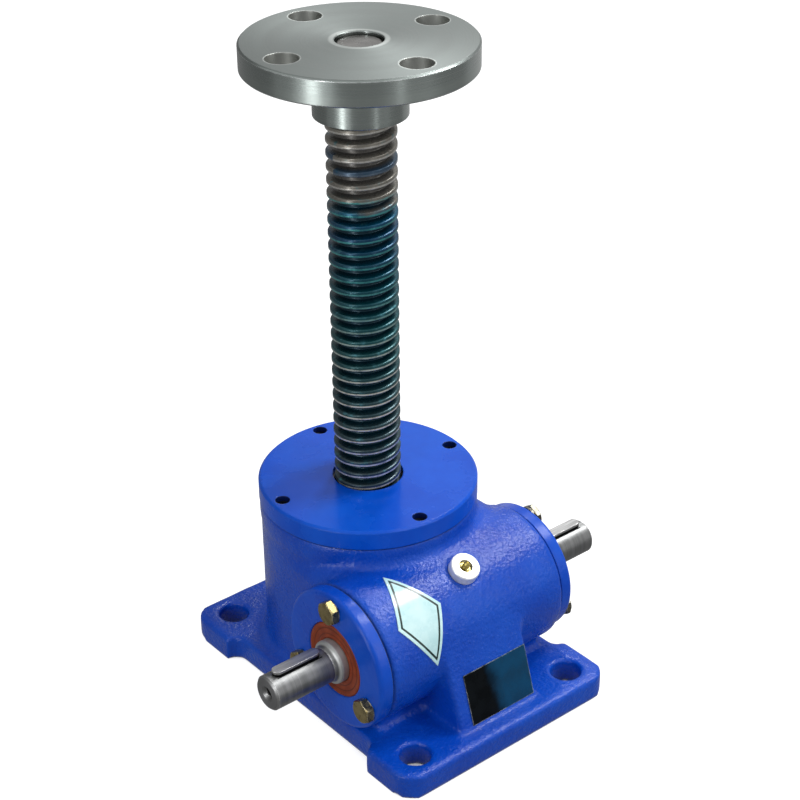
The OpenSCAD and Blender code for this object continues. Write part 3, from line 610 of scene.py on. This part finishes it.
# a thin painted highlight runs along one corner of each crest of the thread
turn = maths(tree, "DIVIDE", maths(tree, "ARCTAN2", y, x), 2 * math.pi)
unwound = minus(tree, maths(tree, "DIVIDE", z, pitch), turn)
corner = ramp(tree, gap(tree, maths(tree, "FRACT", unwound), glint_phase), 0.10, 0.05)
corner = times(tree, corner, ramp(tree, streak, 0.25, 0.6, 0.4, 1.0))
crest_glint = blend(tree, ramp(tree, z, 130 * MM, 200 * MM), linear(214, 210, 198), linear(60, 134, 134))
crest_glint = blend(tree, ramp(tree, height, 233 * MM, 240 * MM), crest_glint, linear(176, 174, 168))
crest = blend(tree, corner, crest, crest_glint)
# one turn near the flange still holds its oil
held = maths(tree, "LESS_THAN", gap(tree, unwound, oily_turn), 0.5)
crest = blend(tree, times(tree, held, 0.8), crest, linear(2, 58, 88))
# painted shade darkens the thread's roots, in oily teal under the wiped turns and in grey over them
root_shade = ramp(tree, across(tree, x, y), 11.8 * MM, 14.5 * MM)
deep = blend(tree, ramp(tree, height, wiped_low, wiped_high), linear(3, 42, 56), linear(82, 80, 77))
finish_in(tree, surface, blend(tree, root_shade, deep, crest), ramp(tree, streak, 0.2, 0.8, 0.2, 0.38))
around = add(tree, "ShaderNodeTangent", direction_type="RADIAL", axis="Z")
tree.links.new(around.outputs[0], surface["Tangent"])
bump(tree, surface, noise_at(tree, place, 900.0, 2.0), 0.00005)

blank = new_object("lifting_screw_rod", bpy.data.meshes.new("lifting_screw_rod"))
values = {name: float(value) for name, value in sizes.items()}
values.update({"Around": turn_steps, "Rows a Pitch": pitch_steps, "Finish": oiled_steel})
grow(blank, rod, rod_sockets, values)
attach(blank, "screw")
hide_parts("lifting_screw")

# ---- Top flange: turned steel, fitted on the screw's spigot --------------------------
# A round plate with a short hub, faced and turned in the lathe, so its top carries fine
# rings and its rim a bright chamfer. Four plain holes take the load's bolts.
turning, enters, leaves = group_tree("turning_marks", (("Across", 0.0), ("Pitch", 0.0006)),
                                     (("Height", "Float"), ("Tone", "Float")))
steps = maths(turning, "DIVIDE", enters["Across"], enters["Pitch"])
line = add(turning, "ShaderNodeTexNoise", noise_dimensions="1D", Scale=1.0, Detail=4.0, Roughness=0.7)
turning.links.new(steps, line.inputs["W"])
slow = add(turning, "ShaderNodeTexNoise", noise_dimensions="1D", Scale=0.11, Detail=2.0)
turning.links.new(steps, slow.inputs["W"])
turning.links.new(line.outputs["Fac"], leaves["Height"])
tone = plus(turning, times(turning, line.outputs["Fac"], 0.4), times(turning, slow.outputs["Fac"], 0.6))
turning.links.new(ramp(turning, tone, 0.3, 0.7), leaves["Tone"])


def turned_steel(name, axis, centre, dark, pale, rough, mark_pitch, grooved, shade):
    """Bright steel turned about an axis ("X" or "Z") through centre. shade tones the colour and
    the roughness by place."""
    material, tree, surface = new_material(name, Metallic=1.0, Anisotropic=grooved,
                                           Anisotropic_Rotation=0.25)
    x, y, z = split_place(tree, centre)
    first, second, along = (y, z, x) if axis == "X" else (x, y, z)
    out = across(tree, first, second)
    rings = add(tree, "ShaderNodeGroup")
    rings.node_tree = turning
    rings.inputs["Pitch"].default_value = mark_pitch
    tree.links.new(plus(tree, out, along), rings.inputs["Across"])
    tone = rings.outputs["Tone"]
    edges = use(tree, edge_glint_and_wear, Width=0.0005)
    marks = use(tree, handling, Size=0.015)
    colour = blend(tree, tone, dark, pale)
    colour = blend(tree, times(tree, marks["Mask"], 0.25), colour, dark)
    # painted highlight: the edges are painted near white
    colour = blend(tree, times(tree, edges["Edge"], 0.7), colour, linear(236, 238, 240))
    colour, duller = shade(tree, colour, out, along, first, second)
    rough = ramp(tree, tone, 0, 1, rough, rough + 0.08)
    finish_in(tree, surface, colour, plus(tree, rough, times(tree, duller, 0.16)))
    around = add(tree, "ShaderNodeTangent", direction_type="RADIAL", axis=axis)
    tree.links.new(around.outputs[0], surface["Tangent"])
    bump(tree, surface, rings.outputs["Height"], 0.000008, edges["Normal"])
    return material


flange_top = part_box("top_flange")[1].z
load_circle, load_first = 37.5 * MM, math.radians(-2)
hole_glint_radius, mouth_glint_radius = 7.3 * MM, 11.4 * MM


def drilled_holes(tree, colour, out, along, first, second):
    """The holes' walls and the faced top are rougher than the turned rim; painted light brightens the walls,
    and painted shade darkens the top.
    """
    away = from_holes(tree, first, second, load_first, load_circle)
    bored = ramp(tree, away, 7.2 * MM, 6.95 * MM)
    faced = ramp(tree, along, flange_top - 0.5 * MM, flange_top - 0.2 * MM)
    colour = blend(tree, faced, colour, linear(116, 122, 120))
    # painted highlights ring the holes and the chamfer round the spigot
    hole_glint = ramp(tree, gap(tree, away, hole_glint_radius), 0.35 * MM, 0.1 * MM, 0, 0.4)
    mouth_glint = ramp(tree, gap(tree, out, mouth_glint_radius), 1.6 * MM, 0.4 * MM, 0, 0.35)
    bright = times(tree, maths(tree, "MAXIMUM", hole_glint, mouth_glint), faced)
    colour = blend(tree, bright, colour, linear(206, 211, 208))
    return blend(tree, bored, colour, linear(176, 178, 174)), maths(tree, "MAXIMUM", bored, faced)


flange_steel = turned_steel("turned_flange_steel", "Z", (0, 0, 0), linear(130, 137, 135),
                            linear(140, 147, 144), 0.23, 0.0007, 0.4, drilled_holes)
dressed("top_flange", flange_steel)

# ---- Worm shaft and its keys: ground steel through both end covers -------------------
# One bar with the four-start worm cut in its middle, ground at the seals and bearings
# and centre-drilled at both ends. A drawn steel key is pressed into each end's keyway.
worm_low, worm_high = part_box("worm_shaft")
worm_line = (worm_low + worm_high) / 2
shaft_end = worm_high.x
beside_key = 2.75 * MM                          # where the painted shade runs, from the key's middle
key_inner, key_outer = 27.6 * MM, 4 * MM        # both ends of that shade, from the shaft's end
shoulder_x, end_radius, fillet, sunk = 60 * MM, 8 * MM, 1.9 * MM, 0.1 * MM
fillet_stretch, fillet_steps, around_steps = 1.3, 8, 96
crease = math.radians(28)                       # edges sharper than this stay sharp


def keyway_and_ends(tree, colour, out, along, first, second):
    """A dark line of painted shade runs in the corner along each key, and the sawn end faces are duller than
    the ground sides."""
    reach = maths(tree, "ABSOLUTE", along)
    key_gap_shade = ramp(tree, gap(tree, maths(tree, "ABSOLUTE", first), beside_key), 0.3 * MM, 0.12 * MM)
    key_gap_shade = times(tree, key_gap_shade, maths(tree, "GREATER_THAN", second, 0.0))
    key_gap_shade = times(tree, key_gap_shade, maths(tree, "GREATER_THAN", reach, shaft_end - key_inner))
    key_gap_shade = times(tree, key_gap_shade, maths(tree, "LESS_THAN", reach, shaft_end - key_outer))
    colour = blend(tree, key_gap_shade, colour, linear(14, 14, 15))
    # the journal next to the seal is painted bright, as painted light, and rougher
    journal_light = times(tree, ramp(tree, out, 8.3 * MM, 8.8 * MM), ramp(tree, reach, 56 * MM, 57 * MM))
    colour = blend(tree, journal_light, colour, linear(184, 186, 186))
    sawn = ramp(tree, reach, shaft_end - 0.25 * MM, shaft_end - 0.1 * MM)
    return blend(tree, sawn, colour, linear(120, 121, 122)), maths(tree, "MAXIMUM", sawn, journal_light)


def spun(made, profile, steps, sign):
    """Adds a closed profile of (distance from the worm's line, distance along it), spun round."""
    rings = []
    for step in range(steps):
        turn = 2 * math.pi * step / steps
        rings.append([made.verts.new((sign * along, worm_line.y + out * math.cos(turn),
                                      worm_line.z + out * math.sin(turn))) for out, along in profile])
    faces = []
    for first, second in zip(rings, rings[1:] + rings[:1]):
        for k in range(len(profile)):
            after = (k + 1) % len(profile)
            faces.append(made.faces.new((first[k], first[after], second[after], second[k])))
    bmesh.ops.recalc_face_normals(made, faces=faces)
    for face in faces:
        face.smooth = True


shaft_steel = turned_steel("ground_shaft_steel", "X", (0, worm_line.y, worm_line.z), linear(112, 113, 113),
                           linear(140, 141, 141), 0.35, 0.0005, 0.3, keyway_and_ends)
shaft_mesh = nodes["worm_shaft"].data.copy()
shaft_shell = bmesh.new()
shaft_shell.from_mesh(shaft_mesh)
bmesh.ops.remove_doubles(shaft_shell, verts=shaft_shell.verts, dist=weld_gap)
for edge in shaft_shell.edges:
    edge.smooth = edge.is_manifold and edge.calc_face_angle(0) < crease
for sign in (-1, 1):
    corner = [(end_radius - sunk, shoulder_x - sunk), (end_radius + fillet, shoulder_x - sunk)]
    for step in range(fillet_steps + 1):
        bend = math.pi / 2 * step / fillet_steps
        corner.append((end_radius + fillet - fillet * math.sin(bend),
                       shoulder_x + fillet * fillet_stretch * (1 - math.cos(bend))))
    corner.append((end_radius - sunk, shoulder_x + fillet * fillet_stretch))
    spun(shaft_shell, corner, around_steps, sign)
shaft_shell.to_mesh(shaft_mesh)
shaft_shell.free()
shaft = new_object("worm_shaft_turned", shaft_mesh)
shaft_mesh.materials.clear()
shaft_mesh.materials.append(shaft_steel)
shaft_mesh.polygons.foreach_set("use_smooth", [True] * len(shaft_mesh.polygons))
shaft_mesh.polygons.foreach_set("material_index", [0] * len(shaft_mesh.polygons))
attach(shaft, "worm")
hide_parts("worm_shaft")

key_steel, tree, surface = new_material("drawn_key_steel", Metallic=1.0)
stretch = add(tree, "ShaderNodeMapping", vector_type="POINT")
tree.links.new(place_in(tree), stretch.inputs["Vector"])
stretch.inputs["Scale"].default_value = (60, 1800, 1800)
drawn = noise_at(tree, stretch.outputs[0], 1.0, 3.0)
edges = use(tree, edge_glint_and_wear, Width=0.0004)
colour = blend(tree, ramp(tree, drawn, 0.3, 0.7), linear(150, 150, 150), linear(184, 184, 184))
# painted highlight: the key's edges are painted near white
colour = blend(tree, edges["Edge"], colour, linear(230, 230, 230))
# the key's foot is painted dark, as the shade along its side walls
foot = ramp(tree, split_place(tree)["Z"], worm_line.z + 9.1 * MM, worm_line.z + 8.6 * MM)
finish_in(tree, surface, blend(tree, foot, colour, linear(20, 20, 22)),
          ramp(tree, drawn, 0.3, 0.7, 0.28, 0.42))
bump(tree, surface, drawn, 0.00003, edges["Normal"])
for side in ("near", "far"):
    dressed(side + "_key", key_steel)

# ---- End covers, gaskets and oil seals of the worm tunnel ----------------------------
# Cast discs, machined on the inside and painted in place over a thin gasket, each with
# a brown rubber lip seal pressed in, whose lip runs on the ground shaft.
cover_enamel = enamel("cover_blue_enamel", linear(3, 66, 182), linear(6, 78, 194), 0.0022, 0.00014, 0.08,
                      0.16)
dark_gasket, tree, surface = new_material("dark_gasket", IOR=1.45, Roughness=0.6)
marks = use(tree, handling, Size=0.004)
tree.links.new(blend(tree, marks["Mask"], linear(8, 12, 34), linear(16, 34, 92)), surface["Base Color"])

seal_rubber, tree, surface = new_material("brown_seal_rubber", IOR=1.5, Specular_IOR_Level=0.2,
                                          Roughness=0.45)
x, y, z = split_place(tree, (0, worm_line.y, worm_line.z))
out = across(tree, y, z)
grain = use(tree, cast_grain, Grain_Size=0.0006)
marks = use(tree, handling, Size=0.006)
colour = blend(tree, marks["Mask"], linear(118, 48, 26), linear(142, 64, 36))
# painted shade darkens the bottoms of the seal face's two grooves
for groove_radius, darkness in ((14.8 * MM, 0.7), (12.2 * MM, 0.6)):
    groove_shade = ramp(tree, gap(tree, out, groove_radius), 0.4 * MM, 0.1 * MM, 0.0, darkness)
    colour = blend(tree, groove_shade, colour, linear(72, 26, 12))
tree.links.new(colour, surface["Base Color"])
bump(tree, surface, grain["Height"], 0.00004)

lip = 10.1 * MM                        # the lip's inner radius, just clear of the journal
for side, sign in (("near", -1), ("far", 1)):
    dressed(side + "_end_cover", cover_enamel)
    seal_low, seal_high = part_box(side + "_oil_seal")
    face, back_face = (seal_high.x, seal_low.x) if sign > 0 else (-seal_low.x, -seal_high.x)
    rim = (seal_high.z - seal_low.z) / 2
    # millimetres out from the lip and in from the face, then in from the rim and the face
    profile = [(lip + out * MM, face - deep * MM) for out, deep in (
        (0, 0.6), (0.1, 0.3), (0.4, 0.16), (1.2, 0.16), (1.7, 0.4), (2.1, 0.55))]
    profile += [(rim - out * MM, face - deep * MM) for out, deep in (
        (2.4, 0.6), (2.0, 0.3), (1.5, 0.05), (0.8, 0), (0.3, 0.15), (0, 0.5))]
    profile += [(rim, back_face), (rim - 2 * MM, back_face), (lip + 1.5 * MM, back_face + 1 * MM),
                (lip, back_face + 2 * MM)]
    seal_shell = bmesh.new()
    spun(seal_shell, profile, 72, sign)
    seal_mesh = bpy.data.meshes.new(side + "_seal")
    seal_shell.to_mesh(seal_mesh)
    seal_shell.free()
    seal_mesh.materials.append(seal_rubber)
    seal = new_object(side + "_seal", seal_mesh)
    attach(seal, "frame")
    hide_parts(side + "_oil_seal")
dressed("near_gasket", dark_gasket)
dressed("far_gasket", cover_enamel)

# ---- End cover bolts: three M6 hexagon bolts a side, zinc plated ---------------------
# Forged heads chamfered on top, each over a spring washer. They stand evenly on a circle
# round the shaft, so one blank is set out by rule and turned to its own angle.


def zinc_plate(name, deep, pale):
    material, tree, surface = new_material(name, Metallic=0.95)
    edges = use(tree, edge_glint_and_wear, Width=0.0004, Breakup=900.0)
    marks = use(tree, handling, Size=0.003)
    colour = blend(tree, marks["Mask"], deep, pale)
    # painted highlight: the edges are painted pale
    colour = blend(tree, times(tree, edges["Edge"], 0.8), colour, linear(240, 234, 206))
    finish_in(tree, surface, colour, ramp(tree, marks["Mask"], 0, 1, 0.24, 0.4))
    grain = use(tree, cast_grain, Grain_Size=0.0005)
    bump(tree, surface, grain["Height"], 0.00004, edges["Normal"])
    return material


yellow_zinc = zinc_plate("yellow_zinc", linear(124, 110, 68), linear(152, 138, 96))
faded_zinc = zinc_plate("faded_zinc", linear(92, 90, 80), linear(122, 118, 106))
head_flats = 10 * MM
head_corner = head_flats / math.cos(math.radians(30))
shank_radius = 3 * MM
head_turn, head_spread = math.radians(27), math.radians(6)


def bolt_blank(name, shank_l, head_h, washer_t):
    """A hexagon bolt on +Z with its seat at z 0 and a washer under the head."""
    rings = [(0.6 * shank_radius, -shank_l, 0), (shank_radius, -shank_l + 0.8 * MM, 0), (shank_radius, 0, 0),
             (4.9 * MM, 0, 0), (5.0 * MM, 0.15 * MM, 0), (5.0 * MM, washer_t - 0.1 * MM, 0),
             (4.85 * MM, washer_t, 0), (4.7 * MM, washer_t + 0.02 * MM, 0),
             (4.8 * MM, washer_t + 0.12 * MM, 1), (head_corner, washer_t + 0.2 * MM, 1),
             (head_corner, head_h - 0.75 * MM, 1), (5.5 * MM, head_h - 0.42 * MM, 1),
             (5.0 * MM, head_h - 0.06 * MM, 1), (4.8 * MM, head_h, 1), (1.2 * MM, head_h - 0.1 * MM, 0)]
    count = 72
    made = bmesh.new()
    loops = []
    for limit, z, hexed in rings:
        loop = []
        for step in range(count):
            turn = 2 * math.pi * step / count
            off = (turn + math.pi / 6) % (math.pi / 3) - math.pi / 6
            reach = min(limit, head_flats / 2 / math.cos(off)) if hexed else limit
            loop.append(made.verts.new((reach * math.cos(turn), reach * math.sin(turn), z)))
        loops.append(loop)
    for lower, upper in zip(loops, loops[1:]):
        for step in range(count):
            after = (step + 1) % count
            made.faces.new((lower[step], lower[after], upper[after], upper[step]))
    made.faces.new(loops[0][::-1])
    made.faces.new(loops[-1])
    bmesh.ops.recalc_face_normals(made, faces=made.faces)
    mesh = bpy.data.meshes.new(name)
    made.to_mesh(mesh)
    made.free()
    return new_object(name, mesh)


circle = bpy.data.node_groups.new("bolt_circle", "GeometryNodeTree")
circle_sockets = named_inputs(circle, (
    ("Count", "Int"), ("Circle Radius", "Float"), ("Blank", "Object"), ("Seat", "Vector"),
    ("Facing", "Vector"), ("First", "Float"), ("Head Turn", "Float"), ("Turn Spread", "Float"),
    ("Seed", "Int"), ("Finish", "Material")))
given = add(circle, "NodeGroupInput").outputs
link = circle.links.new
ring = add(circle, "GeometryNodeMeshCircle")
link(given["Count"], ring.inputs["Vertices"])
link(given["Circle Radius"], ring.inputs["Radius"])
points = add(circle, "GeometryNodeMeshToPoints")
link(ring.outputs[0], points.inputs["Mesh"])
blank_info = add(circle, "GeometryNodeObjectInfo")
link(given["Blank"], blank_info.inputs["Object"])
spin = add(circle, "FunctionNodeRandomValue", data_type="FLOAT")
link(given["Seed"], spin.inputs["Seed"])
link(given["Turn Spread"], spin.inputs[3])
own_turn = add(circle, "ShaderNodeCombineXYZ")
link(plus(circle, given["Head Turn"], spin.outputs[1]), own_turn.inputs[2])
spread = add(circle, "GeometryNodeInstanceOnPoints")
link(points.outputs[0], spread.inputs["Points"])
link(blank_info.outputs["Geometry"], spread.inputs["Instance"])
link(own_turn.outputs[0], spread.inputs["Rotation"])
first = add(circle, "GeometryNodeTransform")
start = add(circle, "ShaderNodeCombineXYZ")
link(given["First"], start.inputs[2])
link(spread.outputs[0], first.inputs["Geometry"])
link(start.outputs[0], first.inputs["Rotation"])
seated = add(circle, "GeometryNodeTransform")
link(first.outputs[0], seated.inputs["Geometry"])
link(given["Facing"], seated.inputs["Rotation"])
link(given["Seat"], seated.inputs["Translation"])
end_tree(circle, seated.outputs[0], given["Finish"])


def bolt_ring(side, sign, circle_radius, washer_t, seed, plating):
    node = side + "_cover_bolts"
    node_low, node_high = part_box(node)
    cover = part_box(side + "_end_cover")
    face = cover[1].x if sign > 0 else cover[0].x
    outer = node_high.x if sign > 0 else node_low.x
    inner = node_low.x if sign > 0 else node_high.x
    blank = bolt_blank(side + "_bolt_blank", abs(face - inner), abs(outer - face), washer_t)
    ring = new_object(side + "_bolts", bpy.data.meshes.new(side + "_bolts"))
    grow(ring, circle, circle_sockets, {
        "Count": 3, "Circle Radius": circle_radius, "Blank": blank,
        "Seat": (face, worm_line.y, worm_line.z), "Facing": (0.0, sign * math.pi / 2, 0.0),
        "First": math.pi if sign > 0 else 0.0, "Head Turn": head_turn, "Turn Spread": head_spread,
        "Seed": seed, "Finish": plating})
    blank_mesh = blank.data
    bpy.data.objects.remove(blank)
    bpy.data.meshes.remove(blank_mesh)
    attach(ring, "frame")
    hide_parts(node)


bolt_ring("near", -1, 26 * MM, 0.35 * MM, 3, yellow_zinc)
bolt_ring("far", 1, 25 * MM, 1.2 * MM, 8, faded_zinc)

# ---- Grease point: a zinc-plated boss with a brass nipple ----------------------------
# A turned steel collar pressed into the tunnel, with a straight brass nipple screwed
# through it to grease the worm.
bright_zinc = blotched("bright_zinc", 0.004, linear(222, 224, 226), linear(244, 245, 246), (0.3, 0.42),
                       (0.0004, linear(250, 250, 250)), Metallic=0.35, Coat_Weight=0.3, Coat_Roughness=0.1)
nipple_brass = blotched("nipple_brass", 0.0015, linear(120, 104, 44), linear(206, 190, 112), (0.22, 0.4),
                        (0.0003, linear(244, 236, 190)), Metallic=1.0)
dressed("grease_boss", bright_zinc)
dressed("grease_nipple", nipple_brass)

# ---- Nameplate and diamond label: both left bare --------------------------------------
# A thin black anodised plate lies on the pedestal's sloping face, and a pale film label
# with one green border line is wrapped on the tunnel. Nothing is written on either.
plate_low, plate_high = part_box("nameplate")
plate_w = plate_high.x - plate_low.x
reflection_start, reflection_full = plate_low.x + 0.5 * plate_w, plate_low.x + 0.75 * plate_w
plate_black, tree, surface = new_material("anodised_plate", Specular_IOR_Level=0.06, Coat_Weight=0.03,
                                          Coat_Roughness=0.06)
# painted reflection: the plate's right part is painted teal, fading in along x
wander = times(tree, noise_at(tree, place_in(tree), 90.0, 3.0), 12 * MM)
teal_reflection = ramp(tree, plus(tree, split_place(tree)["X"], wander), reflection_start, reflection_full)
edges = use(tree, edge_glint_and_wear, Width=0.0005)
marks = use(tree, handling, Size=0.008)
colour = blend(tree, teal_reflection, linear(5, 8, 11), linear(18, 66, 98))
colour = blend(tree, times(tree, marks["Mask"], 0.3), colour, linear(16, 22, 26))
# painted highlight: the plate's edges are painted pale grey
colour = blend(tree, times(tree, edges["Edge"], 0.8), colour, linear(190, 196, 200))
finish_in(tree, surface, colour, ramp(tree, marks["Mask"], 0, 1, 0.22, 0.34))
dressed("nameplate", plate_black)

# The border follows the diamond as it is wrapped: its middle's place along the tunnel and
# round it, its turn on the skin, and half of its length and of its width
tunnel_radius, label_x, label_angle = 32.5 * MM, -28.4 * MM, math.radians(136.3)
label_turn, label_half_l, label_half_w = math.radians(5.7), 24.5 * MM, 12.5 * MM
label_film, tree, surface = new_material("label_film", IOR=1.45, Coat_Weight=0.35, Coat_Roughness=0.1)
x, y, z = split_place(tree)
round_angle = maths(tree, "ARCTAN2", minus(tree, z, worm_line.z), minus(tree, y, worm_line.y))
along = times(tree, minus(tree, label_angle, round_angle), tunnel_radius)
aside = minus(tree, x, label_x)
cosine, sine = math.cos(label_turn), math.sin(label_turn)
run = minus(tree, times(tree, along, cosine), times(tree, aside, sine))
width = plus(tree, times(tree, along, sine), times(tree, aside, cosine))
diamond = plus(tree, maths(tree, "DIVIDE", maths(tree, "ABSOLUTE", run), label_half_l),
               maths(tree, "DIVIDE", maths(tree, "ABSOLUTE", width), label_half_w))
border = times(tree, ramp(tree, diamond, 0.79, 0.80), ramp(tree, diamond, 0.885, 0.875))
marks = use(tree, handling, Size=0.01)
colour = blend(tree, marks["Mask"], linear(186, 226, 228), linear(206, 238, 238))
finish_in(tree, surface, blend(tree, border, colour, linear(6, 42, 38)),
          ramp(tree, marks["Mask"], 0, 1, 0.25, 0.4))
dressed("diamond_label", label_film)

# ---- Worm wheel and bearings, inside the housing --------------------------------------
# The bronze wheel is also the lifting nut. It turns between two thrust bearings, and
# the worm shaft in two ball bearings, all of hardened steel with pressed brass cages.
wheel_bronze = blotched("wheel_bronze", 0.006, linear(176, 130, 62), linear(206, 160, 92), (0.28, 0.42),
                        (0.0004, linear(236, 206, 140)), Metallic=1.0)
bearing_steel = blotched("bearing_steel", 0.003, linear(178, 180, 184), linear(206, 208, 212), (0.1, 0.2),
                         Metallic=1.0)
cage_brass = blotched("cage_brass", 0.002, linear(190, 156, 84), linear(214, 184, 116), (0.25, 0.4),
                      Metallic=1.0)
dressed("worm_wheel", wheel_bronze)
for node in nodes:
    if node.endswith("cage"):
        dressed(node, cage_brass)
    elif node.endswith(("balls", "washer", "ring")):
        dressed(node, bearing_steel)
